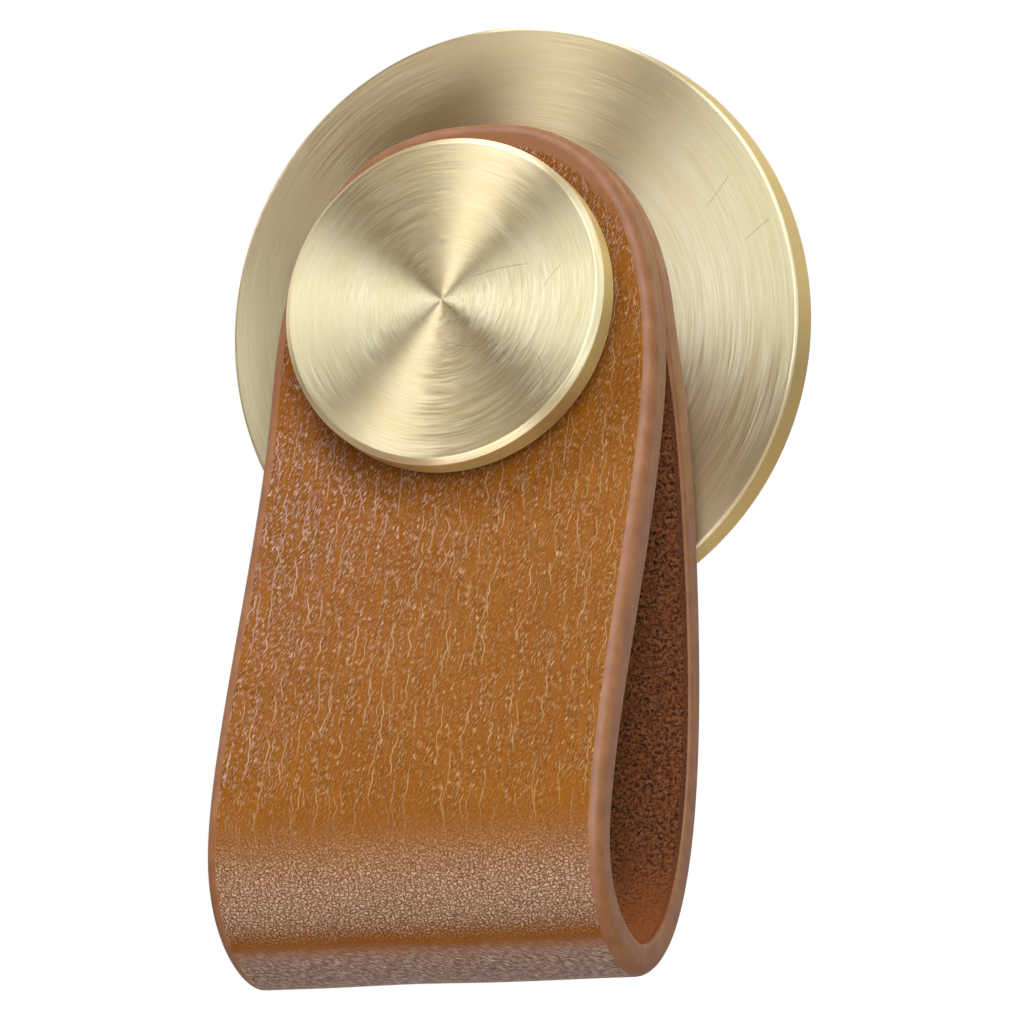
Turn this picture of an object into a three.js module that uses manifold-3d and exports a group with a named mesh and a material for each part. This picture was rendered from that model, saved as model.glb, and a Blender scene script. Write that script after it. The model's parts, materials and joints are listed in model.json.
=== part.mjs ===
// A leather strap pull for a door or a drawer, in millimetres.
// One wide strap is folded into a finger loop. Its two round ends lie on each other, clamped between the
// crowned hub of a large turned brass backplate and the neck of a small brass button, and one machine
// screw holds the stack from behind the door.
// The origin is on the screw's axis in the backplate's back plane: +Y goes into the door, -Y towards
// the hand, and +Z is up, so that the loop hangs along -Z.
import * as THREE from "three";
import { mergeVertices } from "three/addons/utils/BufferGeometryUtils.js";
import Module from "manifold-3d";

const wasm = await Module();
wasm.setup();

// Backplate, a turned disc with a crowned hub that carries the strap
const backplateDiameter = 60;
const backplateThickness = 4.4;
const backplateBevel = 0.25;
const backplateRearEdge = 0.3;
const hubDiameter = 12;
const hubHeight = 5.6;
const hubCrownRadius = 20;

// Strap. Its ends are fuller than a half circle: a superellipse of this length and power.
const strapWidth = 40.4;
const endLength = 29;
const endPower = 2.45;
const leatherThickness = 3.7;
const foldThickness = 3.1;
const grainEdgeRadius = 1.1;
const fleshEdgeRadius = 0.4;
const frontTipHeight = 19;
const rearTipHeight = 18.1;
const lean = THREE.MathUtils.degToRad(9.5);

// Finger loop: how far its grain face stands in front of the hub's crown, and hangs below the screw
const frontBellyOut = 26.9;
const frontBellyDrop = 54.2;
const foldOut = 15.1;
const foldDrop = 66.2;
const rearBellyOut = -3.3;
const rearBellyDrop = 31.7;
const thinningStartDrop = 15;
const thinningEndDrop = 45;

// How long each bend of the loop keeps the direction that it leaves and arrives in, as a share of the
// height or depth that it covers
const frontFallHold = [0.31, 0.22];
const frontTurnHold = [0.69, 0.31];
const rearTurnHold = [0.32, 0.84];
const rearRiseHold = [0.72, 0.23];

// Button
const buttonDiameter = 33.2;
const buttonThickness = 3.4;
const buttonEdge = 0.4;
const buttonRearEdge = 0.2;
const buttonSkin = 1.4;
const buttonDrop = 0.6;
const neckDiameter = 10;
const neckLength = 2.2;
const bossDiameter = 9;
const bossLength = 3.2;
const bossEdge = 0.4;

// Fixing screw, an M4 pan head, and the door that it passes through
const screwDiameter = 4;
const screwHeadDiameter = 8;
const screwHeadHeight = 3.1;
const screwHeadCrown = 1.2;
const screwTipChamfer = 0.6;
const recessSpan = 4.4;
const recessSlot = 1.1;
const recessDepth = 2;
const doorThickness = 18;

// Clearances, and how finely the round forms are divided
const seatClearance = 0.05;
const bossClearance = 0.3;
const threadClearance = 0.3;
const screwHoleClearance = 0.75;
const discSegments = 96;
const boreSegments = 40;
const crownSteps = 6;
const tipSteps = 12;
const loopStep = 2;

// The clamped stack, from the door outwards. The loop pulls the two flaps over, so that they rock back
// on the crown together and lean by one angle, and the button on them turns up by the same angle. Both
// flaps' grain faces are given where the screw's axis crosses them.
const hubCrown = -(backplateThickness + hubHeight);
const flapAlongScrew = leatherThickness / Math.cos(lean);
const rearFlapGrain = hubCrown - hubCrownRadius * (1 / Math.cos(lean) - 1) - seatClearance;
const frontFlapGrain = rearFlapGrain - 2 * flapAlongScrew - seatClearance;
const buttonSeat = frontFlapGrain - seatClearance;
const buttonDepth = neckLength + buttonThickness;
const frontStraightDrop = neckDiameter / 2 + buttonDrop;

function solidFrom(geometry) {
  const bare = new THREE.BufferGeometry();
  bare.setAttribute("position", geometry.getAttribute("position"));
  bare.setIndex(geometry.index);
  const merged = mergeVertices(bare, 1e-4);
  return new wasm.Manifold(
    new wasm.Mesh({
      numProp: 3,
      vertProperties: merged.attributes.position.array,
      triVerts: new Uint32Array(merged.index.array),
    }),
  );
}

function geometryFrom(solid) {
  const mesh = solid.getMesh();
  const geometry = new THREE.BufferGeometry();
  geometry.setAttribute("position", new THREE.BufferAttribute(mesh.vertProperties, 3));
  geometry.setIndex(new THREE.BufferAttribute(mesh.triVerts, 1));
  geometry.computeVertexNormals();
  return geometry;
}

// A solid turned about the Y axis from [radius, y] corners
function turned(corners, segments) {
  const profile = corners.map(([radius, y]) => new THREE.Vector2(radius, y));
  return solidFrom(new THREE.LatheGeometry(profile, segments));
}

// A drill along Y, between two depths
function drill(diameter, from, to) {
  const geometry = new THREE.CylinderGeometry(diameter / 2, diameter / 2, to - from, boreSegments);
  return geometry.translate(0, (from + to) / 2, 0);
}

function backplate() {
  const rim = backplateDiameter / 2;
  const hub = hubDiameter / 2;
  const bore = screwDiameter / 2 + screwHoleClearance;
  const face = -backplateThickness;
  const crown = [];
  for (let i = 0; i <= crownSteps; i++) {
    const radius = THREE.MathUtils.lerp(bore, hub, i / crownSteps);
    crown.push([radius, hubCrown + hubCrownRadius - Math.sqrt(hubCrownRadius ** 2 - radius ** 2)]);
  }
  return turned(
    [
      ...crown,
      [hub, face],
      [rim - backplateBevel, face],
      [rim, face + backplateBevel],
      [rim, -backplateRearEdge],
      [rim - backplateRearEdge, 0],
      [bore, 0],
      crown[0],
    ],
    discSegments,
  );
}

// The line of the grain face, from the front flap's end, down round the loop, up to the rear flap's end
function loopPath() {
  const point = (y, drop) => new THREE.Vector3(0, y, -drop);
  const alongLean = new THREE.Vector3(0, -Math.sin(lean), -Math.cos(lean));
  const leaning = (y, drop) => point(y - drop * Math.tan(lean), drop);
  const frontTip = leaning(frontFlapGrain, -frontTipHeight);
  const frontEnd = leaning(frontFlapGrain, frontStraightDrop);
  const frontBelly = point(hubCrown - frontBellyOut, frontBellyDrop);
  const fold = point(hubCrown - foldOut, foldDrop);
  const rearBelly = point(hubCrown - rearBellyOut, rearBellyDrop);
  const rearEnd = point(rearFlapGrain, 0);
  const rearTip = leaning(rearFlapGrain, -rearTipHeight);
  const frontFall = frontBellyDrop - frontStraightDrop;
  const frontTurn = foldDrop - frontBellyDrop;
  const rearTurn = foldDrop - rearBellyDrop;
  const down = (from, length) => from.clone().add(new THREE.Vector3(0, 0, -length));
  const back = (from, length) => from.clone().add(new THREE.Vector3(0, length, 0));
  const path = new THREE.CurvePath();
  const bend = (...corners) => path.add(new THREE.CubicBezierCurve3(...corners));
  path.add(new THREE.LineCurve3(frontTip, frontEnd));
  bend(
    frontEnd,
    frontEnd.clone().addScaledVector(alongLean, frontFallHold[0] * frontFall),
    down(frontBelly, -frontFallHold[1] * frontFall),
    frontBelly,
  );
  bend(
    frontBelly,
    down(frontBelly, frontTurnHold[0] * frontTurn),
    back(fold, -frontTurnHold[1] * (frontBellyOut - foldOut)),
    fold,
  );
  bend(
    fold,
    back(fold, rearTurnHold[0] * (foldOut - rearBellyOut)),
    down(rearBelly, rearTurnHold[1] * rearTurn),
    rearBelly,
  );
  bend(
    rearBelly,
    down(rearBelly, -rearRiseHold[0] * rearBellyDrop),
    rearEnd.clone().addScaledVector(alongLean, rearRiseHold[1] * rearBellyDrop),
    rearEnd,
  );
  path.add(new THREE.LineCurve3(rearEnd, rearTip));
  return path;
}

// The strap's section is a rectangle with rounded edges. Each layer of its side is an inset from the
// full outline and a depth under the grain face.
function sideLayers(thickness) {
  const layers = [];
  for (const degrees of [0, 30, 60, 90]) {
    const turn = THREE.MathUtils.degToRad(degrees);
    layers.push({
      inset: grainEdgeRadius * (1 - Math.sin(turn)),
      depth: grainEdgeRadius * (1 - Math.cos(turn)),
    });
  }
  for (const degrees of [0, 45, 90]) {
    const turn = THREE.MathUtils.degToRad(degrees);
    layers.push({
      inset: fleshEdgeRadius * (1 - Math.cos(turn)),
      depth: thickness - fleshEdgeRadius * (1 - Math.sin(turn)),
    });
  }
  return layers;
}

function strap() {
  const path = loopPath();
  const length = path.getLength();
  const halfWidth = strapWidth / 2;
  const bodySteps = Math.round((length - 2 * endLength) / loopStep);

  // A point of the round end: how far it reaches past the end's wide side, and its half width
  const roundEnd = (turn, inset) => ({
    reach: (endLength - inset) * Math.sin(turn) ** (2 / endPower),
    half: (halfWidth - inset) * Math.max(Math.cos(turn), 0) ** (2 / endPower),
  });

  // Each station gives a layer's distance along the strap and its half width
  const stations = [];
  for (let i = 0; i <= tipSteps; i++) {
    const turn = (Math.PI / 2) * (1 - i / tipSteps);
    stations.push((inset) => {
      const { reach, half } = roundEnd(turn, inset);
      return { along: endLength - reach, half };
    });
  }
  for (let i = 1; i < bodySteps; i++) {
    const along = endLength + ((length - 2 * endLength) * i) / bodySteps;
    stations.push((inset) => ({ along, half: halfWidth - inset }));
  }
  for (let i = 0; i <= tipSteps; i++) {
    const turn = (Math.PI / 2) * (i / tipSteps);
    stations.push((inset) => {
      const { reach, half } = roundEnd(turn, inset);
      return { along: length - endLength + reach, half };
    });
  }

  const thicknessAt = (drop) =>
    THREE.MathUtils.lerp(
      leatherThickness,
      foldThickness,
      THREE.MathUtils.smoothstep(drop, thinningStartDrop, thinningEndDrop),
    );
  const positions = [];
  for (const station of stations) {
    const middle = path.getPoint(station(0).along / length);
    const right = sideLayers(thicknessAt(-middle.z)).map(({ inset, depth }) => {
      const { along, half } = station(inset);
      const on = path.getPoint(along / length);
      const ahead = path.getTangent(along / length);
      return [half, on.y - ahead.z * depth, on.z + ahead.y * depth];
    });
    const left = right.map(([x, y, z]) => [-x, y, z]).reverse();
    positions.push(...right.flat(), ...left.flat());
  }

  const ring = 2 * sideLayers(leatherThickness).length;
  const index = [];
  for (let i = 0; i + 1 < stations.length; i++) {
    for (let j = 0; j < ring; j++) {
      const a = i * ring + j;
      const b = i * ring + ((j + 1) % ring);
      index.push(a, a + ring, b + ring, a, b + ring, b);
    }
  }
  const skin = new THREE.BufferGeometry();
  skin.setAttribute("position", new THREE.Float32BufferAttribute(positions, 3));
  skin.setIndex(index);

  const bossHole = drill(
    bossDiameter + 2 * bossClearance,
    -leatherThickness,
    leatherThickness + 1.5 * seatClearance,
  )
    .rotateX(-lean)
    .translate(0, buttonSeat - buttonDrop * Math.tan(lean), -buttonDrop);
  const screwHole = drill(
    screwDiameter + 2 * screwHoleClearance,
    rearFlapGrain - flapAlongScrew - 0.2 * leatherThickness,
    rearFlapGrain + 0.5 * leatherThickness,
  );
  return withoutSlivers(skin).subtract(solidFrom(bossHole)).subtract(solidFrom(screwHole));
}

// The strap's skin as a solid, once the triangles that vanish at its round ends are dropped
function withoutSlivers(skin) {
  const merged = mergeVertices(skin, 1e-4);
  const corners = merged.index.array;
  const kept = [];
  for (let i = 0; i < corners.length; i += 3) {
    const [a, b, c] = corners.slice(i, i + 3);
    if (a !== b && b !== c && c !== a) kept.push(a, b, c);
  }
  merged.setIndex(kept);
  return solidFrom(merged);
}

// The button in its own frame: its neck ends at y = 0 on the front flap, and its boss goes on along +Y
// into the flap. The screw's axis crosses the boss at the angle of the lean.
function button() {
  const rim = buttonDiameter / 2;
  const neck = neckDiameter / 2;
  const boss = bossDiameter / 2;
  const body = turned(
    [
      [0, -buttonDepth],
      [rim - buttonEdge, -buttonDepth],
      [rim, buttonEdge - buttonDepth],
      [rim, -neckLength - buttonRearEdge],
      [rim - buttonRearEdge, -neckLength],
      [neck, -neckLength],
      [neck, 0],
      [boss, 0],
      [boss, bossLength - bossEdge],
      [boss - bossEdge, bossLength],
      [0, bossLength],
    ],
    discSegments,
  );
  const threadHole = drill(
    screwDiameter + 2 * threadClearance,
    buttonSkin - buttonDepth,
    2 * bossLength,
  )
    .rotateX(lean)
    .translate(0, 0, buttonDrop / Math.cos(lean));
  return body.subtract(solidFrom(threadHole));
}

function fixingScrew() {
  const shank = screwDiameter / 2;
  const head = screwHeadDiameter / 2;
  const tip = buttonSeat - buttonDepth + buttonSkin + threadClearance;
  const top = doorThickness + screwHeadHeight;
  const crown = new THREE.QuadraticBezierCurve(
    new THREE.Vector2(head, top - screwHeadCrown),
    new THREE.Vector2(head, top),
    new THREE.Vector2(head / 2, top),
  );
  const body = turned(
    [
      [0, tip],
      [shank - screwTipChamfer, tip],
      [shank, tip + screwTipChamfer],
      [shank, doorThickness],
      [head, doorThickness],
      ...crown.getPoints(5).map((p) => [p.x, p.y]),
      [0, top],
    ],
    boreSegments,
  );
  const bar = new THREE.BoxGeometry(recessSpan, 2 * recessDepth, recessSlot);
  const acrossX = solidFrom(bar.clone().translate(0, top, 0));
  const acrossZ = solidFrom(bar.clone().rotateY(Math.PI / 2).translate(0, top, 0));
  return body.subtract(acrossX).subtract(acrossZ);
}

const brass = new THREE.MeshStandardMaterial({ color: 0xc6b184, roughness: 0.32, metalness: 1 });
const leather = new THREE.MeshStandardMaterial({ color: 0xa06a34, roughness: 0.5, metalness: 0 });
const steel = new THREE.MeshStandardMaterial({ color: 0xb9bbbd, roughness: 0.35, metalness: 1 });

function piece(name, solid, material) {
  const mesh = new THREE.Mesh(geometryFrom(solid), material);
  mesh.name = name;
  return mesh;
}

const strapPull = new THREE.Group();
strapPull.add(piece("backplate", backplate(), brass));
strapPull.add(piece("leather_strap", strap(), leather));
strapPull.add(piece("fixing_screw", fixingScrew(), steel));

const buttonMesh = piece("button", button(), brass);
buttonMesh.position.set(0, buttonSeat - buttonDrop * Math.tan(lean), -buttonDrop);
buttonMesh.rotation.x = -lean;
strapPull.add(buttonMesh);

export default strapPull;
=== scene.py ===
"""A leather strap pull: a cognac strap folded into a finger loop and held between two turned brass discs."""

import json
import math

import bmesh
import bpy
import numpy as np
from mathutils import Matrix, Vector, noise

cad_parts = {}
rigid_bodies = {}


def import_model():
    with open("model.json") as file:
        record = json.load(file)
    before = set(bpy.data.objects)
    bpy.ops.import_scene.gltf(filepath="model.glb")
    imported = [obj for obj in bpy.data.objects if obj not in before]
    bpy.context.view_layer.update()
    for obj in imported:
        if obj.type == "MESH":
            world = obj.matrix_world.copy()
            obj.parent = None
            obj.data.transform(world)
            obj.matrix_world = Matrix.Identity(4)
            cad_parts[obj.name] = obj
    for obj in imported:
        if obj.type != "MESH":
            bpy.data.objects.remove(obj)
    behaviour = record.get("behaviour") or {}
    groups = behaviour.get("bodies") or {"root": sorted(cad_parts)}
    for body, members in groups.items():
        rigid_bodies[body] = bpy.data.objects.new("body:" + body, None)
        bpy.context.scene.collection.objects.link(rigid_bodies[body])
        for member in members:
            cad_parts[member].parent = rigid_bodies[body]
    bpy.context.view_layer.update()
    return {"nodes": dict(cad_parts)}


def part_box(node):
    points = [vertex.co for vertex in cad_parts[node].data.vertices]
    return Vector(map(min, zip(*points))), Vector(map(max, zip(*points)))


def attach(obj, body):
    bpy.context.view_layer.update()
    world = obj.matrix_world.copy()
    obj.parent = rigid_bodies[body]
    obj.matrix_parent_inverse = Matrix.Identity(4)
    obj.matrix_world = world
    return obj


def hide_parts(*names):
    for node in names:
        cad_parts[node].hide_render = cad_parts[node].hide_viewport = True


bpy.ops.object.select_all(action="SELECT")
bpy.ops.object.delete()
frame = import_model()
scene = bpy.context.scene
MM = 0.001

# Camera
# The photograph looks at the pull from its right and from a little below, through a long lens.
camera_azimuth = math.radians(20.77)
camera_elevation = math.radians(-6.28)
camera_roll = math.radians(-1.0)
camera_distance = 799 * MM
camera_lens = 281.25
camera_aside = -1.57 * MM
camera_down = -18.07 * MM


def direction(azimuth, elevation):
    """Unit vector from the pull: azimuth 0 is straight in front, positive to its right."""
    level = math.cos(elevation)
    return Vector((math.sin(azimuth) * level, -math.cos(azimuth) * level, math.sin(elevation)))


towards_camera = direction(camera_azimuth, camera_elevation)
level_right = (-towards_camera).cross(Vector((0, 0, 1))).normalized()
level_up = level_right.cross(-towards_camera)
camera_right = level_right * math.cos(camera_roll) + level_up * math.sin(camera_roll)
camera_up = level_up * math.cos(camera_roll) - level_right * math.sin(camera_roll)
camera_target = camera_right * camera_aside + camera_up * camera_down
camera_data = bpy.data.cameras.new("camera")
camera_data.lens = camera_lens
camera_data.sensor_width = 36
camera_data.clip_start = 0.05
camera_data.clip_end = 20
camera = bpy.data.objects.new("camera", camera_data)
scene.collection.objects.link(camera)
camera_axes = Matrix((camera_right, camera_up, towards_camera)).transposed().to_4x4()
camera.matrix_world = Matrix.Translation(camera_target + towards_camera * camera_distance) @ camera_axes
scene.camera = camera

# Backplate
# A solid brass disc turned in one piece with a small crowned hub, which stands the strap off its face.
# The face is brushed in circles on the lathe and lightly scratched, and its edges are just broken.
_, plate_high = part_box("backplate")
plate_radius = plate_high.x
plate_thickness = 4.4 * MM
plate_bevel = 0.25 * MM
plate_rear_edge = 0.3 * MM
plate_bore = 2.75 * MM
hub_radius = 6 * MM
hub_height = 5.6 * MM
crown_radius = 20 * MM
hub_crown = -(plate_thickness + hub_height)
disc_segments = 256
edge_steps = 4


def linear(red, green, blue):
    """Scene colour from a screen colour of 0 to 255."""
    levels = [level / 255 for level in (red, green, blue)]
    return tuple(c / 12.92 if c <= 0.04 else ((c + 0.055) / 1.055) ** 2.4 for c in levels)


def rounded(corners, edge):
    """Profile corners with each sharp one turned into a short arc between two close support points."""
    made = []
    for i, corner in enumerate(corners):
        here = Vector(corner)
        if i == 0 or i + 1 == len(corners):
            made.append(here)
            continue
        back, ahead = Vector(corners[i - 1]) - here, Vector(corners[i + 1]) - here
        reach = min(edge, 0.3 * back.length, 0.3 * ahead.length)
        start, end = here + back.normalized() * reach, here + ahead.normalized() * reach
        made.append(here + back.normalized() * min(2 * reach, 0.45 * back.length))
        for step in range(edge_steps + 1):
            t = step / edge_steps
            made.append(start * (1 - t) ** 2 + here * 2 * t * (1 - t) + end * t ** 2)
        made.append(here + ahead.normalized() * min(2 * reach, 0.45 * ahead.length))
    return made


def shaded(name, vertices, faces, material_indices=None):
    """A smooth mesh object from plain lists."""
    mesh = bpy.data.meshes.new(name)
    mesh.from_pydata([tuple(v) for v in vertices], [], faces)
    if material_indices is not None:
        mesh.polygons.foreach_set("material_index", material_indices)
    mesh.polygons.foreach_set("use_smooth", [True] * len(mesh.polygons))
    mesh.update()
    made = bpy.data.objects.new(name, mesh)
    scene.collection.objects.link(made)
    return made


def turned(name, profile, segments):
    """A solid turned about the Y axis. The profile runs from the front to the back; radius 0 is a pole."""
    vertices, rings, faces = [], [], []
    for radius, depth in profile:
        if radius < 1e-7:
            rings.append([len(vertices)] * segments)
            vertices.append((0, depth, 0))
            continue
        rings.append(list(range(len(vertices), len(vertices) + segments)))
        for k in range(segments):
            turn = 2 * math.pi * k / segments
            vertices.append((radius * math.cos(turn), depth, radius * math.sin(turn)))
    for ring, following in zip(rings, rings[1:]):
        for k in range(segments):
            n = (k + 1) % segments
            corners = [ring[k], ring[n], following[n], following[k]]
            face = [c for i, c in enumerate(corners) if c not in corners[:i]]
            if len(face) > 2:
                faces.append(face)
    return shaded(name, vertices, faces)


class Nodes:
    """Short ways to add and join the nodes of one material, or of the world."""

    def __init__(self, owner, shader="Principled BSDF"):
        owner.use_nodes = True
        self.owner = owner
        self.tree = owner.node_tree
        self.shader = self.tree.nodes[shader]

    def join(self, value, socket):
        if isinstance(value, bpy.types.NodeSocket):
            self.tree.links.new(value, socket)
        elif value is not None:
            socket.default_value = value

    def add(self, kind, output, inputs, **settings):
        node = self.tree.nodes.new(kind)
        for key, value in settings.items():
            setattr(node, key, value)
        for key, value in inputs.items():
            self.join(value, node.inputs[key])
        return node.outputs[output]

    def math(self, operation, a, b=None, c=None):
        inputs = {i: v for i, v in enumerate((a, b, c)) if v is not None}
        return self.add("ShaderNodeMath", 0, inputs, operation=operation)

    def times(self, a, b):
        return self.math("MULTIPLY", a, b)

    def vector(self, operation, a, b=None):
        inputs = {i: v for i, v in enumerate((a, b)) if v is not None}
        return self.add("ShaderNodeVectorMath", 0, inputs, operation=operation)

    def scaled(self, vector, factor):
        return self.add("ShaderNodeVectorMath", 0, {0: vector, "Scale": factor}, operation="SCALE")

    def length(self, a):
        return self.add("ShaderNodeVectorMath", "Value", {0: a}, operation="LENGTH")

    def combine(self, x, y, z):
        return self.add("ShaderNodeCombineXYZ", 0, {0: x, 1: y, 2: z})

    def separate(self, vector):
        node = self.tree.nodes.new("ShaderNodeSeparateXYZ")
        self.join(vector, node.inputs[0])
        return node.outputs

    def noise(self, vector, scale, detail=2.0, roughness=0.5, distortion=0.0):
        inputs = {"Vector": vector, "Scale": scale, "Detail": detail, "Roughness": roughness}
        inputs["Distortion"] = distortion
        return self.add("ShaderNodeTexNoise", 0, inputs)

    def ramp(self, value, low, high, to_low=0.0, to_high=1.0):
        inputs = {0: value, 1: low, 2: high, 3: to_low, 4: to_high}
        return self.add("ShaderNodeMapRange", 0, inputs, interpolation_type="SMOOTHSTEP")

    def mix(self, factor, a, b):
        node = self.tree.nodes.new("ShaderNodeMix")
        node.data_type = "RGBA"
        self.join(factor, node.inputs[0])
        self.join(a if isinstance(a, bpy.types.NodeSocket) else (*a, 1), node.inputs[6])
        self.join(b if isinstance(b, bpy.types.NodeSocket) else (*b, 1), node.inputs[7])
        return node.outputs[2]

    def bump(self, height, strength, distance, normal=None):
        inputs = {"Height": height, "Strength": strength, "Distance": distance, "Normal": normal}
        return self.add("ShaderNodeBump", 0, inputs)

    def set(self, **values):
        for key, value in values.items():
            socket = self.shader.inputs[key.replace("_", " ")]
            if isinstance(value, tuple) and len(value) == 3:
                value = (*value, 1)
            self.join(value, socket)


def brushed_brass(name, seed, hairlines, roughness):
    """Satin brass brushed in circles about the disc's own Y axis. The brush's streaks tip the surface a
    little along the brushing. Each hairline is a short curved scratch, given in mm as the (x, z) of its
    circle's centre, the circle's radius, the (x, z) where it lies and how far it runs from there."""
    n = Nodes(bpy.data.materials.new(name))
    place = n.add("ShaderNodeTexCoord", "Object", {})
    x, _, z = n.separate(place)
    flat = n.combine(x, 0.0, z)
    radius = n.length(flat)
    around_x, _, around_z = n.separate(n.vector("NORMALIZE", flat))

    def streaks(turns, per_metre, offset):
        along = n.combine(n.times(around_x, turns), n.times(around_z, turns), n.times(radius, per_metre))
        return n.noise(n.vector("ADD", along, (seed, offset, 0.0)), 1.0, 2.0, 0.6)

    fine = streaks(3.4, 8200.0, 3.0)
    soft = streaks(2.6, 3800.0, 11.0)
    broad = streaks(0.9, 240.0, 23.0)
    lines = 0.0
    for centre_x, centre_z, reach, at_x, at_z, run in hairlines:
        from_centre = n.length(n.vector("SUBTRACT", flat, (centre_x * MM, 0.0, centre_z * MM)))
        off = n.math("ABSOLUTE", n.math("SUBTRACT", from_centre, reach * MM))
        line = n.ramp(off, 0.02 * MM, 0.06 * MM, 1.0, 0.0)
        from_middle = n.length(n.vector("SUBTRACT", flat, (at_x * MM, 0.0, at_z * MM)))
        line = n.times(line, n.ramp(from_middle, 0.7 * run * MM, run * MM, 1.0, 0.0))
        lines = n.math("MAXIMUM", lines, line)
    tone = n.mix(n.ramp(fine, 0.3, 0.7), linear(230, 204, 154), linear(244, 222, 184))
    tone = n.mix(n.ramp(broad, 0.35, 0.65, 0.0, 0.3), tone, linear(222, 196, 136))
    tone = n.mix(n.times(lines, 0.6), tone, linear(140, 118, 78))
    # Painted reflection and shade: the rim, where the surface turns away from the face, is coloured darker
    # and more olive than the face.
    _, facing, _ = n.separate(n.add("ShaderNodeTexCoord", "Normal", {}))
    painted_rim_reflection = n.ramp(n.math("ABSOLUTE", facing), 0.1, 0.5, 1.0, 0.0)
    tone = n.mix(n.times(painted_rim_reflection, 0.85), tone, linear(196, 164, 96))
    along_brush = n.add(
        "ShaderNodeVectorTransform", 0, {0: n.combine(n.times(around_z, -1.0), 0.0, around_x)},
        vector_type="VECTOR", convert_from="OBJECT", convert_to="WORLD",
    )
    fine_tip = n.times(n.math("SUBTRACT", fine, 0.5), 0.17)
    soft_tip = n.times(n.math("SUBTRACT", soft, 0.5), 0.06)
    tip = n.math("ADD", fine_tip, soft_tip)
    surface = n.add("ShaderNodeNewGeometry", "Normal", {})
    tipped = n.vector("NORMALIZE", n.vector("ADD", surface, n.scaled(along_brush, tip)))
    height = n.math("SUBTRACT", n.math("ADD", n.times(fine, 0.6), n.times(soft, 0.6)), n.times(lines, 0.8))
    tangent = n.add("ShaderNodeTangent", 0, {}, direction_type="RADIAL", axis="Y")
    uneven = n.ramp(soft, 0.3, 0.7, roughness, roughness + 0.08)
    n.set(Base_Color=tone, Metallic=1.0, Roughness=uneven, Tangent=tangent)
    n.set(Normal=n.bump(height, 0.25, 0.02 * MM, tipped))
    n.shader.inputs["Anisotropic"].default_value = 0.9
    n.shader.inputs["Anisotropic Rotation"].default_value = 0.25
    return n.owner


crown = [
    (radius, hub_crown + crown_radius - math.sqrt(crown_radius ** 2 - radius ** 2))
    for radius in np.linspace(plate_bore, hub_radius, 7)
]
plate_profile = crown[:1] + rounded(
    crown
    + [
        (hub_radius, -plate_thickness),
        (plate_radius - plate_bevel, -plate_thickness),
        (plate_radius, plate_bevel - plate_thickness),
        (plate_radius, -plate_rear_edge),
        (plate_radius - plate_rear_edge, 0),
        (plate_bore, 0),
    ],
    0.1 * MM,
)[1:]
plate_profile.append(plate_profile[0])
plate = turned("turned_backplate", plate_profile, disc_segments)
plate_hairlines = [
    (30, 25, 31, 5, 27, 2.5),
    (-12, 40, 44, 22, 12, 2.2),
    (44, -16, 30, 26, 8, 1.8),
    (20, 60, 52, -26, 12, 3),
]
plate.data.materials.append(brushed_brass("backplate brass", 3.7, plate_hairlines, 0.39))
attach(plate, "root")
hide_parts("backplate")

# Leather strap
# One thick strap cut with full round ends, folded grain side out into a finger loop. Its cut edges are
# painted, the paint rolling a millimetre over the grain, and the inside of the loop is suede.
_, strap_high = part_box("leather_strap")
strap_half_width = strap_high.x
end_length = 29 * MM
end_power = 2.45
leather_thickness = 3.7 * MM
fold_thickness = 3.1 * MM
thinning_start = 15 * MM
thinning_run = 30 * MM
lean = math.radians(9.5)
front_tip = 19 * MM
rear_tip = 18.1 * MM
seat_clearance = 0.05 * MM
clamped_drop = 18 * MM
ripple_run = 14 * MM
ripple_height = 0.13 * MM
ripple_across = 70
ripple_along = 55
grain_edge = 1.2 * MM
flesh_edge = 0.4 * MM
neck_radius = 5 * MM
button_drop = 0.6 * MM
front_straight_drop = neck_radius + button_drop
rear_flap_grain = hub_crown - crown_radius * (1 / math.cos(lean) - 1) - seat_clearance
front_flap_grain = rear_flap_grain - 2 * leather_thickness / math.cos(lean) - seat_clearance
along_step = 0.5 * MM
bend_steps = 200
face_columns = 80
tip_rows = 40
grain_corner_steps = 6
side_steps = 6
flesh_corner_steps = 4
map_per_metre = 100


def loop_line():
    """Close (y, z) points along the grain face, from the front end down and round to the rear end. The
    handles of each curve are shares of the drop or the depth that it covers."""
    front_belly = Vector((hub_crown - 26.9 * MM, -54.2 * MM))
    fold = Vector((hub_crown - 15.1 * MM, -66.2 * MM))
    rear_belly = Vector((hub_crown + 3.3 * MM, -31.7 * MM))
    leaning = Vector((-math.sin(lean), -math.cos(lean)))
    down, back = Vector((0, -1)), Vector((1, 0))
    front_end = Vector((front_flap_grain - front_straight_drop * math.tan(lean), -front_straight_drop))
    rear_end = Vector((rear_flap_grain, 0))
    fall = front_end.y - front_belly.y
    turn = front_belly.y - fold.y
    rear_turn = rear_belly.y - fold.y
    rise = rear_end.y - rear_belly.y
    front_depth = fold.x - front_belly.x
    rear_depth = rear_belly.x - fold.x
    bends = [
        (front_end, front_end + leaning * 0.31 * fall, front_belly - down * 0.22 * fall, front_belly),
        (front_belly, front_belly + down * 0.69 * turn, fold - back * 0.31 * front_depth, fold),
        (fold, fold + back * 0.32 * rear_depth, rear_belly + down * 0.84 * rear_turn, rear_belly),
        (rear_belly, rear_belly - down * 0.72 * rise, rear_end + leaning * 0.23 * rise, rear_end),
    ]
    points = [Vector((front_flap_grain + front_tip * math.tan(lean), front_tip))]
    for a, b, c, d in bends:
        for step in range(bend_steps):
            t = step / bend_steps
            points.append(a * (1 - t) ** 3 + b * 3 * t * (1 - t) ** 2 + c * 3 * t * t * (1 - t) + d * t ** 3)
    points += [rear_end, Vector((rear_flap_grain + rear_tip * math.tan(lean), rear_tip))]
    return np.array([tuple(p) for p in points])


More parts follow.
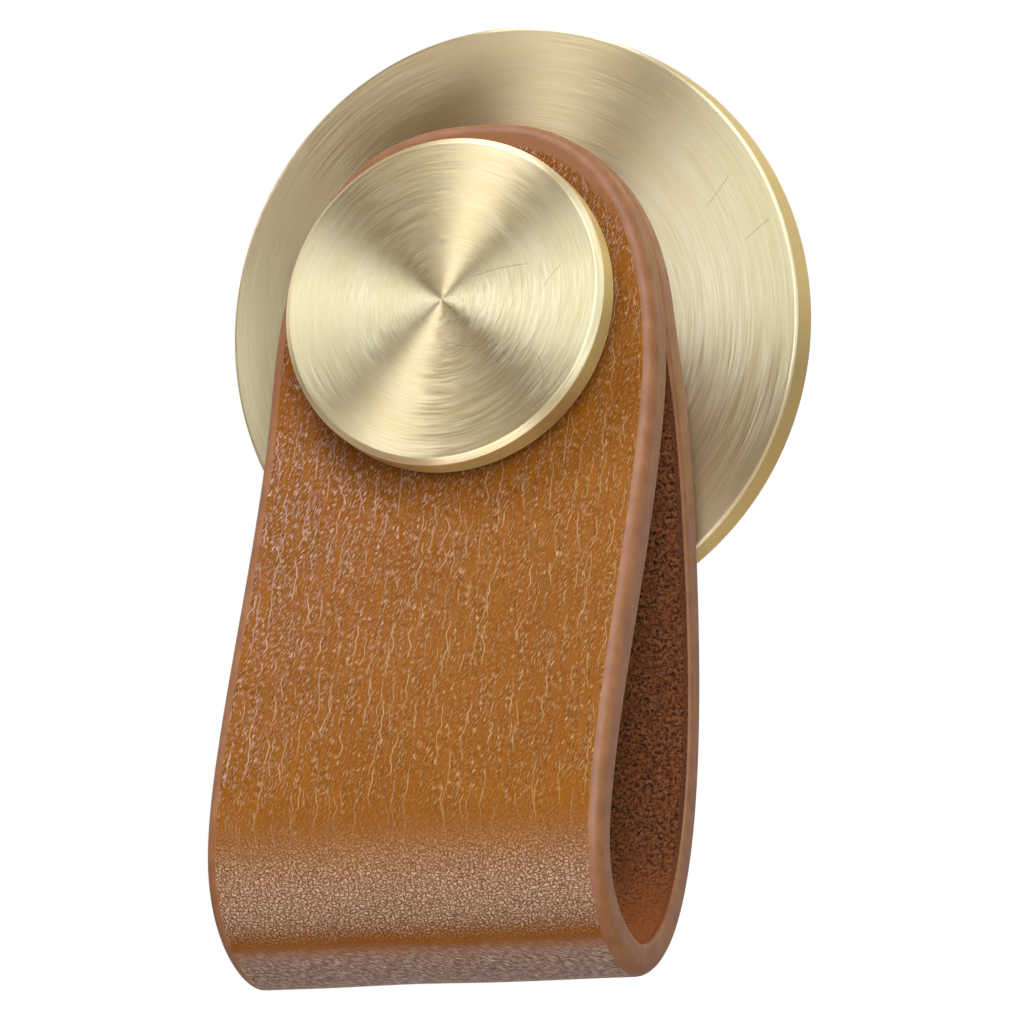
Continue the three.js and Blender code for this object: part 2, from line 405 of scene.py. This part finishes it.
loop = loop_line()
loop_distance = np.concatenate([[0], np.cumsum(np.linalg.norm(np.diff(loop, axis=0), axis=1))])
strap_length = loop_distance[-1]


def on_loop(along):
    """Point and inward direction, as (y, z) pairs, at a distance along the strap."""
    def at(s):
        return np.array([np.interp(s, loop_distance, loop[:, 0]), np.interp(s, loop_distance, loop[:, 1])])

    reach = 0.6 * MM
    ahead = at(min(along + reach, strap_length)) - at(max(along - reach, 0))
    ahead = ahead / np.linalg.norm(ahead)
    return at(along), np.array([-ahead[1], ahead[0]])


def thickness_at(height):
    """The leather is skived thinner towards the fold."""
    t = min(max((-height - thinning_start) / thinning_run, 0), 1)
    return leather_thickness + (fold_thickness - leather_thickness) * t * t * (3 - 2 * t)


def side_layers(thickness):
    """(inset, depth) down the strap's side: the rolled grain corner, the side, and the flesh corner."""
    layers = []
    for step in range(grain_corner_steps + 1):
        turn = math.pi / 2 * step / grain_corner_steps
        layers.append((grain_edge * (1 - math.sin(turn)), grain_edge * (1 - math.cos(turn))))
    for step in range(1, side_steps):
        layers.append((0.0, grain_edge + (thickness - grain_edge - flesh_edge) * step / side_steps))
    for step in range(flesh_corner_steps + 1):
        turn = math.pi / 2 * step / flesh_corner_steps
        layers.append((flesh_edge * (1 - math.cos(turn)), thickness - flesh_edge * (1 - math.sin(turn))))
    return layers


def round_end(turn, inset):
    """How far a point of the round end reaches past the end's wide side, and its half width."""
    reach = (end_length - inset) * math.sin(turn) ** (2 / end_power)
    return reach, (strap_half_width - inset) * max(math.cos(turn), 0) ** (2 / end_power)


def strap_stations():
    """Each station gives a layer's distance along the strap and its half width, for an inset."""
    body = strap_length - 2 * end_length
    steps = round(body / along_step)
    stations = []

    def front_end(turn):
        def station(inset):
            reach, half = round_end(turn, inset)
            return end_length - reach, half
        return station

    def rear_end(turn):
        def station(inset):
            reach, half = round_end(turn, inset)
            return strap_length - end_length + reach, half
        return station

    def between(along):
        return lambda inset: (along, strap_half_width - inset)

    for i in range(tip_rows + 1):
        stations.append(front_end(math.pi / 2 * (1 - i / tip_rows)))
    for i in range(1, steps):
        stations.append(between(end_length + body * i / steps))
    for i in range(tip_rows + 1):
        stations.append(rear_end(math.pi / 2 * i / tip_rows))
    return stations


def ripple(x, along, height):
    """Slow unevenness of the hide, none where the flaps are clamped."""
    free = min(max((-height - clamped_drop) / ripple_run, 0), 1)
    hide_place = Vector((x * ripple_across, along * ripple_along, 4.2))
    return noise.fractal(hide_place, 0.8, 2.0, 2) * ripple_height * free


def build_strap():
    """Rings of the strap's section: the grain face, the right side, the flesh face and the left side."""
    vertices, uvs, faces, kinds = [], [], [], []
    for station in strap_stations():
        middle, _ = on_loop(station(grain_edge)[0])
        right = []
        for inset, depth in side_layers(thickness_at(middle[1])):
            along, half = station(inset)
            here, inward = on_loop(along)
            right.append((half, here + inward * depth, along, half + depth))
        row = []
        x_grain, grain_point, grain_along, _ = right[0]
        _, grain_inward = on_loop(grain_along)
        for k in range(face_columns):
            x = x_grain * (-1 + 2 * k / face_columns)
            edge_fade = 1 - (2 * k / face_columns - 1) ** 8
            point = grain_point - grain_inward * ripple(x, grain_along, grain_point[1]) * edge_fade
            row.append((x, *point, x, grain_along))
        for x, point, along, unrolled in right:
            row.append((x, *point, unrolled, along))
        x_flesh, flesh_point, flesh_along, _ = right[-1]
        for k in range(1, face_columns):
            x = x_flesh * (1 - 2 * k / face_columns)
            row.append((x, *flesh_point, x, flesh_along))
        for x, point, along, unrolled in reversed(right[1:]):
            row.append((-x, *point, -unrolled, along))
        vertices += [(x, y, z) for x, y, z, _, _ in row]
        uvs += [(u, v) for _, _, _, u, v in row]
        ring = len(row)
    last_right = face_columns + len(side_layers(leather_thickness)) - 1
    for start in range(0, len(vertices) - ring, ring):
        for j in range(ring):
            a, b = start + j, start + (j + 1) % ring
            faces.append((a, b, b + ring, a + ring))
            kinds.append(0 if j < face_columns else 2 if last_right <= j < last_right + face_columns else 1)
    return vertices, uvs, faces, kinds


strap_vertices, strap_uvs, strap_faces, strap_kinds = build_strap()
strap = shaded("folded_strap", strap_vertices, strap_faces, strap_kinds)
strap_map = strap.data.uv_layers.new(name="hide")
loop_vertices = np.zeros(len(strap.data.loops), int)
strap.data.loops.foreach_get("vertex_index", loop_vertices)
strap_map.data.foreach_set("uv", (np.array(strap_uvs)[loop_vertices] * map_per_metre).ravel())
welder = bmesh.new()
welder.from_mesh(strap.data)
bmesh.ops.remove_doubles(welder, verts=welder.verts, dist=1e-6)
bmesh.ops.dissolve_degenerate(welder, edges=welder.edges, dist=1e-7)
bmesh.ops.recalc_face_normals(welder, faces=welder.faces)
welder.to_mesh(strap.data)
welder.free()


def hide_coordinates(n):
    """Place on the flat hide in mm: x across the strap, y along it from the front flap's end."""
    uv = n.add("ShaderNodeUVMap", 0, {}, uv_map="hide")
    mm_per_map = 1 / (map_per_metre * MM)
    return n.vector("MULTIPLY", uv, (mm_per_map, mm_per_map, 0.0))


def band(n, along, start, full, fading, gone):
    """1 in a band across the strap, falling smoothly to 0 on both sides of it."""
    return n.times(n.ramp(along, start, full), n.ramp(along, fading, gone, 1.0, 0.0))


def drawn_out(n, place, degrees, across, along, seed):
    """Place on the hide, turned by an angle and scaled across and along, so that a pattern is drawn out."""
    turn = {"Vector": place, "Angle": math.radians(degrees)}
    leaned = n.add("ShaderNodeVectorRotate", 0, turn, rotation_type="Z_AXIS")
    return n.vector("ADD", n.vector("MULTIPLY", leaned, (across, along, 1.0)), (seed, 0.7 * seed, 0.0))


def cell_borders(n, place, scale):
    """Distance to the nearest border of a pattern of cells."""
    cells = {"Vector": place, "Scale": scale}
    return n.add("ShaderNodeTexVoronoi", 0, cells, feature="DISTANCE_TO_EDGE", voronoi_dimensions="2D")


def wrinkles(n, place, degrees, across, along, width, seed):
    """Fine lines on the hide: the borders of long narrow cells."""
    border = cell_borders(n, drawn_out(n, place, degrees, across, along, seed), 1.0)
    return n.ramp(border, 0.2 * width, width, 1.0, 0.0)


def threads(n, place, degrees, across, along, seed):
    """Noise drawn out into short threads."""
    return n.noise(drawn_out(n, place, degrees, across, along, seed), 1.0, 1.0)


def long_creases(n, place, spacing, width, seed):
    """Thin wavy pale creases that run down the strap, broken into short lengths."""
    across, _, _ = n.separate(place)
    drift_place = n.vector("ADD", n.vector("MULTIPLY", place, (0.1, 0.3, 1.0)), (seed, 2 * seed, 0.0))
    drift = n.noise(drift_place, 1.0, 3.0)
    phase = n.math("ADD", n.times(across, 1 / spacing), n.times(drift, 1.5))
    off = n.math("PINGPONG", phase, 0.5)
    line = n.ramp(off, 0.3 * width / spacing, width / spacing, 1.0, 0.0)
    lengths = n.ramp(threads(n, place, 0, 0.8, 0.17, seed + 20.0), 0.51, 0.59)
    return n.times(line, lengths)


def grain_leather():
    """Waxed cognac grain: short pale strokes, slanted near the strap's upper left, and long creases that
    run down it, their pale colour partly painted highlight, pinker and stronger towards the upper left,
    with painted shade in the hollows beside them; fine pores all over; pebbled grain where the strap is
    bent hardest, with painted glints on the pebbles, painted shade between them and a painted sheen
    across the bend; slanted creases under the fold, with painted shade in them and a painted mauve
    reflection and painted shine between them; edge paint round the front tip. Distances along are in mm
    from the front flap's end."""
    n = Nodes(bpy.data.materials.new("cognac grain leather"))
    place = hide_coordinates(n)
    across, along, _ = n.separate(place)
    wander = n.add("ShaderNodeTexNoise", "Color", {"Vector": place, "Scale": 1.8, "Detail": 2.0})
    shift = n.vector("MULTIPLY", n.vector("SUBTRACT", wander, (0.5, 0.5, 0.5)), (0.55, 0.55, 0.0))
    warped = n.vector("ADD", place, shift)
    bend = band(n, along, 70.5, 79.5, 83.5, 87.0)
    under = band(n, along, 86.0, 90.0, 104.0, 110.0)
    front_share = n.ramp(along, 68.0, 79.0, 1.0, 0.0)
    flat_share = n.math("MAXIMUM", front_share, n.ramp(along, 104.0, 112.0, 0.0, 0.55))

    # Strokes, hollows and long creases on the flat leather; the hollows carry painted shade
    chains = n.ramp(threads(n, warped, -6, 1.3, 0.2, 5.0), 0.42, 0.53)
    columns = n.ramp(threads(n, warped, -4, 1.4, 0.2, 9.0), 0.48, 0.56)
    upper_left = n.ramp(n.math("ADD", n.times(across, 0.8), n.times(along, 0.5)), 4.0, 36.0, 1.0, 0.0)
    slanted = threads(n, place, -29, 9.6, 1.6, 11.0)
    slant_share = n.times(n.ramp(chains, 0.0, 1.0, 0.35, 1.0), n.ramp(upper_left, 0.0, 1.0, 0.7, 1.0))
    upright = threads(n, warped, -15, 9.2, 1.3, 37.0)
    upright_share = n.times(columns, n.ramp(along, 24.0, 40.0, 0.6, 1.0))
    slant = n.times(n.ramp(slanted, 0.57, 0.63), slant_share)
    stroke = n.times(n.ramp(upright, 0.57, 0.63), upright_share)
    hollows_and_shade = n.math(
        "MAXIMUM",
        n.times(n.ramp(slanted, 0.36, 0.45, 1.0, 0.0), slant_share),
        n.times(n.ramp(upright, 0.36, 0.45, 1.0, 0.0), upright_share),
    )
    hollows_and_shade = n.times(hollows_and_shade, flat_share)
    wide_lines = long_creases(n, place, 1.9, 0.095, 3.0)
    thin_lines = long_creases(n, place, 1.3, 0.07, 13.0)
    long_lines = n.times(n.math("MAXIMUM", wide_lines, thin_lines), n.ramp(along, 15.0, 60.0, 0.65, 1.0))
    creases = n.times(n.math("MAXIMUM", n.math("MAXIMUM", slant, stroke), long_lines), flat_share)
    pores = n.noise(place, 5.0, 3.0, 0.7)
    specks = n.times(n.ramp(pores, 0.6, 0.7), flat_share)
    mottle = n.noise(place, 0.12, 3.0, 0.6)

    # Pebbles on the bend and creases under it
    rough_place = n.vector("ADD", place, n.vector("MULTIPLY", shift, (1.7, 1.7, 0.0)))
    pebble_borders = cell_borders(n, n.vector("MULTIPLY", rough_place, (1.0, 1.4, 1.0)), 2.0)
    pebbles = n.ramp(pebble_borders, 0.0, 0.16)
    folds = wrinkles(n, rough_place, 56, 3.6, 0.8, 0.15, 43.0)
    folds = n.math("MAXIMUM", folds, n.ramp(threads(n, place, 60, 5.4, 1.0, 51.0), 0.54, 0.6))

    # Colour
    colour = n.mix(n.ramp(mottle, 0.35, 0.65), linear(141, 76, 0), linear(147, 81, 2))
    colour = n.mix(n.ramp(pores, 0.35, 0.62, 0.4, 0.0), colour, linear(96, 44, 0))
    colour = n.mix(n.times(specks, 0.25), colour, linear(176, 126, 70))
    # Painted shade in the hollows beside the strokes.
    colour = n.mix(n.times(hollows_and_shade, 0.45), colour, linear(98, 48, 4))
    # The pale strokes and creases are partly painted highlight, pinker and stronger towards the upper left
    # where the light catches them.
    pale_and_glint = n.mix(upper_left, linear(208, 160, 108), linear(206, 164, 146))
    colour = n.mix(n.times(creases, n.ramp(upper_left, 0.0, 1.0, 0.62, 0.78)), colour, pale_and_glint)
    # Painted sheen across the bend and a painted mauve reflection under it.
    sheen = band(n, along, 72.5, 82.0, 83.0, 85.5)
    mauve_reflection = band(n, along, 86.0, 89.5, 98.0, 106.0)
    colour = n.mix(n.times(sheen, 0.3), colour, linear(204, 156, 118))
    colour = n.mix(n.times(mauve_reflection, 0.5), colour, linear(206, 168, 150))
    # Painted shade in the grooves between the pebbles, and painted glints on the pebbles.
    groove_shade = n.times(n.math("SUBTRACT", 1.0, pebbles), n.times(bend, 0.6))
    glints = n.times(n.ramp(pores, 0.48, 0.57), n.ramp(along, 72.0, 82.5, 0.0, 1.0))
    glints = n.times(n.times(pebbles, glints), bend)
    colour = n.mix(n.times(glints, 0.9), colour, linear(212, 174, 150))
    colour = n.mix(groove_shade, colour, linear(104, 56, 22))
    # Painted shine between the slanted creases under the fold, and painted shade in the creases themselves.
    shine = n.times(n.ramp(threads(n, place, 60, 6.0, 1.1, 67.0), 0.5, 0.58), n.times(under, 0.75))
    colour = n.mix(shine, colour, linear(224, 188, 168))
    colour = n.mix(n.times(n.times(folds, under), 0.75), colour, linear(84, 48, 32))

    # Edge paint round the front tip
    from_side = n.math("POWER", n.math("ABSOLUTE", n.times(across, MM / strap_half_width)), end_power)
    from_body = n.math("MAXIMUM", n.math("MULTIPLY_ADD", along, -MM / end_length, 1.0), 0.0)
    towards_tip = n.math("ADD", from_side, n.math("POWER", from_body, end_power))
    painted = n.times(n.ramp(towards_tip, 0.79, 0.83), n.ramp(along, 6.0, 13.0, 1.0, 0.0))
    colour = n.mix(painted, colour, linear(144, 92, 58))

    # Relief and shine
    height = n.math("ADD", n.times(pores, 0.4), n.math("SUBTRACT", creases, n.times(hollows_and_shade, 0.6)))
    height = n.times(height, n.math("SUBTRACT", 1.0, painted))
    height = n.math("ADD", height, n.times(pebbles, bend))
    height = n.math("SUBTRACT", height, n.times(folds, n.times(under, 0.7)))
    n.set(Base_Color=colour, Roughness=n.ramp(n.math("MAXIMUM", bend, under), 0.0, 1.0, 0.5, 0.38))
    n.set(Normal=n.bump(height, 0.8, 0.1 * MM))
    n.shader.inputs["Specular IOR Level"].default_value = 0.12
    return n.owner


def edge_paint():
    """Tan edge paint, burnished smooth, a little blotched, with a fine waviness left by the brush."""
    n = Nodes(bpy.data.materials.new("edge paint"))
    place = hide_coordinates(n)
    blotch = n.noise(place, 0.35, 3.0, 0.6)
    wave = n.noise(n.vector("MULTIPLY", place, (1.0, 0.35, 1.0)), 1.4, 3.0, 0.55)
    colour = n.mix(n.ramp(blotch, 0.35, 0.65), linear(134, 80, 42), linear(148, 92, 52))
    n.set(Base_Color=colour, Roughness=n.ramp(wave, 0.3, 0.7, 0.46, 0.56))
    n.set(Normal=n.bump(wave, 0.3, 0.04 * MM))
    n.shader.inputs["Specular IOR Level"].default_value = 0.4
    return n.owner


def suede():
    """The flesh side: a short matted reddish-brown nap, lighter and more orange in a band round the bottom
    of the loop.
    """
    n = Nodes(bpy.data.materials.new("suede flesh side"))
    place = hide_coordinates(n)
    _, along, _ = n.separate(place)
    nap = n.noise(place, 2.6, 5.0, 0.8, 0.5)
    clump = n.noise(place, 0.5, 4.0, 0.65)
    low = band(n, along, 74.0, 92.0, 100.0, 118.0)
    colour = n.mix(n.ramp(nap, 0.42, 0.58), linear(20, 6, 1), linear(154, 86, 46))
    colour = n.mix(n.ramp(clump, 0.4, 0.62, 0.0, 0.4), colour, linear(120, 58, 22))
    colour = n.mix(n.times(low, 0.5), colour, linear(190, 98, 38))
    height = n.math("ADD", nap, n.times(clump, 0.8))
    n.set(Base_Color=colour, Roughness=0.95, Normal=n.bump(height, 0.9, 0.25 * MM))
    n.shader.inputs["Specular IOR Level"].default_value = 0.2
    return n.owner


for finish in (grain_leather(), edge_paint(), suede()):
    strap.data.materials.append(finish)
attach(strap, "root")
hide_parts("leather_strap")

# Button
# A small turned brass disc on a short neck, with a threaded boss behind that passes into the front flap.
# Its neck stands flat on the flap, so it leans back with it and its face turns a little upwards.
button_radius = 16.6 * MM
button_thickness = 3.4 * MM
button_edge = 0.6 * MM
button_rear_edge = 0.2 * MM
neck_length = 2.2 * MM
boss_radius = 4.5 * MM
boss_length = 3.2 * MM
button_front = -(neck_length + button_thickness)
button_profile = [(0.0, button_front), (0.2 * MM, button_front)] + rounded(
    [
        (0.5 * button_radius, button_front),
        (button_radius - button_edge, button_front),
        (button_radius, button_front + button_edge),
        (button_radius, -neck_length - button_rear_edge),
        (button_radius - button_rear_edge, -neck_length),
        (neck_radius, -neck_length),
        (neck_radius, 0),
        (boss_radius, 0),
        (boss_radius, boss_length),
        (0.1 * MM, boss_length),
    ],
    0.08 * MM,
)
button_profile.append((0.0, boss_length))
button = turned("turned_button", button_profile, disc_segments)
button_hairlines = [
    (9, -16, 19, 6, 2.6, 3.2),
    (16, -2, 6, 11.5, 1.5, 1.6),
    (2, -10, 9, 10, -8, 2.0),
    (-8, 20, 26, 12, -10, 1.6),
    (4, 4, 9, 2, -5, 2.4),
]
button.data.materials.append(brushed_brass("button brass", 8.3, button_hairlines, 0.38))
button_place = (0, front_flap_grain - seat_clearance - button_drop * math.tan(lean), -button_drop)
button.matrix_world = Matrix.Translation(button_place) @ Matrix.Rotation(-lean, 4, "X")
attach(button, "root")
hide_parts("button")

# Fixing screw
# A zinc-plated M4 pan-head machine screw with a cross recess, pushed through the door from behind and
# screwed into the button's boss. Its thread runs the whole length of the shank.
screw_low, screw_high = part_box("fixing_screw")
steel = Nodes(bpy.data.materials.new("zinc-plated steel"))
steel_place = steel.add("ShaderNodeTexCoord", "Object", {})
steel_tone = steel.noise(steel_place, 900.0, 3.0)
steel_colour = steel.mix(steel.ramp(steel_tone, 0.35, 0.65), linear(186, 188, 190), linear(206, 208, 208))
steel.set(Base_Color=steel_colour, Metallic=1.0, Roughness=steel.ramp(steel_tone, 0.3, 0.7, 0.28, 0.4))
shank_radius = 2 * MM
thread_pitch = 0.7 * MM
thread_depth = 0.42 * MM
thread_runout = 1.4 * MM
tip_chamfer = 0.6 * MM
head_height = 3.1 * MM
head_seat = screw_high.y - head_height
seat_margin = 0.02 * MM
shank_overlap = 0.1 * MM
shank_segments = 28
rows_per_turn = 8


def thread_radius(depth, turn):
    """Radius of the shank, its thread flat at the crests and the roots. The thread runs out just under
    the head and at the chamfered tip."""
    phase = (depth / thread_pitch - turn) % 1
    groove = min(max(1.3 * abs(2 * phase - 1) - 0.1, 0), 1)
    groove *= min(max((head_seat - depth) / thread_runout, 0), 1)
    chamfered = shank_radius - max(tip_chamfer - (depth - screw_low.y), 0)
    return min(shank_radius - thread_depth * groove, chamfered)


def build_screw():
    """The head and its recess as modelled, closed underneath, on a shank with a cut thread."""
    node = frame["nodes"]["fixing_screw"]
    screw_mesh = bmesh.new()
    screw_mesh.from_mesh(node.data)
    screw_mesh.transform(node.matrix_world)
    below = [f for f in screw_mesh.faces if f.calc_center_median().y < head_seat - seat_margin]
    bmesh.ops.delete(screw_mesh, geom=below, context="FACES")
    bmesh.ops.remove_doubles(screw_mesh, verts=screw_mesh.verts, dist=1e-6)
    for face in screw_mesh.faces:
        face.smooth = False
    bmesh.ops.holes_fill(screw_mesh, edges=screw_mesh.edges, sides=0)
    rows = round((head_seat - screw_low.y) / thread_pitch * rows_per_turn)
    rings = []
    for i in range(rows + 1):
        depth = screw_low.y + (head_seat + shank_overlap - screw_low.y) * i / rows
        ring = []
        for k in range(shank_segments):
            turn = k / shank_segments
            reach = thread_radius(depth, turn)
            place = (reach * math.cos(2 * math.pi * turn), depth, reach * math.sin(2 * math.pi * turn))
            ring.append(screw_mesh.verts.new(place))
        rings.append(ring)
    for ring, following in zip(rings, rings[1:]):
        for k in range(shank_segments):
            n = (k + 1) % shank_segments
            screw_mesh.faces.new((ring[k], ring[n], following[n], following[k])).smooth = True
    screw_mesh.faces.new(rings[0])
    screw_mesh.faces.new(rings[-1])
    bmesh.ops.recalc_face_normals(screw_mesh, faces=screw_mesh.faces)
    made = bpy.data.meshes.new("machine_screw")
    screw_mesh.to_mesh(made)
    screw_mesh.free()
    return made


screw = bpy.data.objects.new("machine_screw", build_screw())
scene.collection.objects.link(screw)
screw.data.materials.append(steel.owner)
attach(screw, "root")
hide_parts("fixing_screw")

# Floor, backdrop and light
# A plain white studio with a pale floor under the hanging pull: one tall soft box on the right, small
# ones above and to the left, and a low card in front. The brass reflects the dim warm room in front of
# it, the white backdrop behind it and the floor. The floor's own glow is what makes it look pale.
floor_height = -0.95
floor_half = 6.0
floor_to_camera = 0.7
floor_to_brass = 0.4
floor_corners = [(-1, -1), (1, -1), (1, 1), (-1, 1)]
floor_places = [(x * floor_half, y * floor_half, floor_height) for x, y in floor_corners]
floor = shaded("studio_floor", floor_places, [(0, 1, 2, 3)])
floor_paint = Nodes(bpy.data.materials.new("studio floor"))
floor_rays = floor_paint.tree.nodes.new("ShaderNodeLightPath").outputs
floor_glow = floor_paint.math(
    "MAXIMUM",
    floor_paint.times(floor_rays["Is Camera Ray"], floor_to_camera),
    floor_paint.times(floor_rays["Is Glossy Ray"], floor_to_brass),
)
floor_paint.set(Base_Color=(0.3, 0.28, 0.25), Roughness=0.9)
floor_paint.set(Emission_Color=(1.0, 1.0, 1.0), Emission_Strength=floor_glow)
floor.data.materials.append(floor_paint.owner)
light_aim = Vector((0, -15 * MM, -20 * MM))


def soft_box(name, azimuth, elevation, distance, width, height, power, colour):
    """An area lamp that faces the pull from a direction in degrees."""
    away = direction(math.radians(azimuth), math.radians(elevation))
    lamp = bpy.data.lights.new(name, "AREA")
    lamp.shape = "RECTANGLE"
    lamp.size, lamp.size_y = width, height
    lamp.energy = power
    lamp.color = colour
    placed = bpy.data.objects.new(name, lamp)
    scene.collection.objects.link(placed)
    placed.location = light_aim + away * distance
    placed.rotation_mode = "QUATERNION"
    placed.rotation_quaternion = away.to_track_quat("Z", "Y")
    placed.visible_camera = False


soft_box("key_right", 27, 26, 1.2, 0.55, 1.35, 20, (0.68, 0.84, 1.0))
soft_box("strip_above", -24, 65, 1.2, 0.4, 0.4, 9, (0.8, 0.9, 1.0))
soft_box("card_front_low", 0, -36, 1.3, 1.0, 0.3, 7.5, (0.8, 0.88, 1.0))
soft_box("fill_left", -62, 25, 1.3, 0.3, 0.3, 1.8, (0.82, 0.9, 1.0))

room_colour = (0.135, 0.108, 0.06)
backdrop_colour = (1, 1, 1)
scene.world = bpy.data.worlds.new("studio")
sky = Nodes(scene.world, "Background")
_, backwards, upwards = sky.separate(sky.add("ShaderNodeTexCoord", "Generated", {}))
behind = sky.ramp(backwards, -0.35, 0.6)
above = sky.ramp(upwards, -0.3, 0.3, 0.05, 1.0)
reflected = sky.mix(sky.times(behind, above), room_colour, backdrop_colour)
sky_seen = sky.add("ShaderNodeLightPath", "Is Camera Ray", {})
sky.set(Color=sky.mix(sky_seen, reflected, backdrop_colour))

scene.view_settings.view_transform = "Standard"
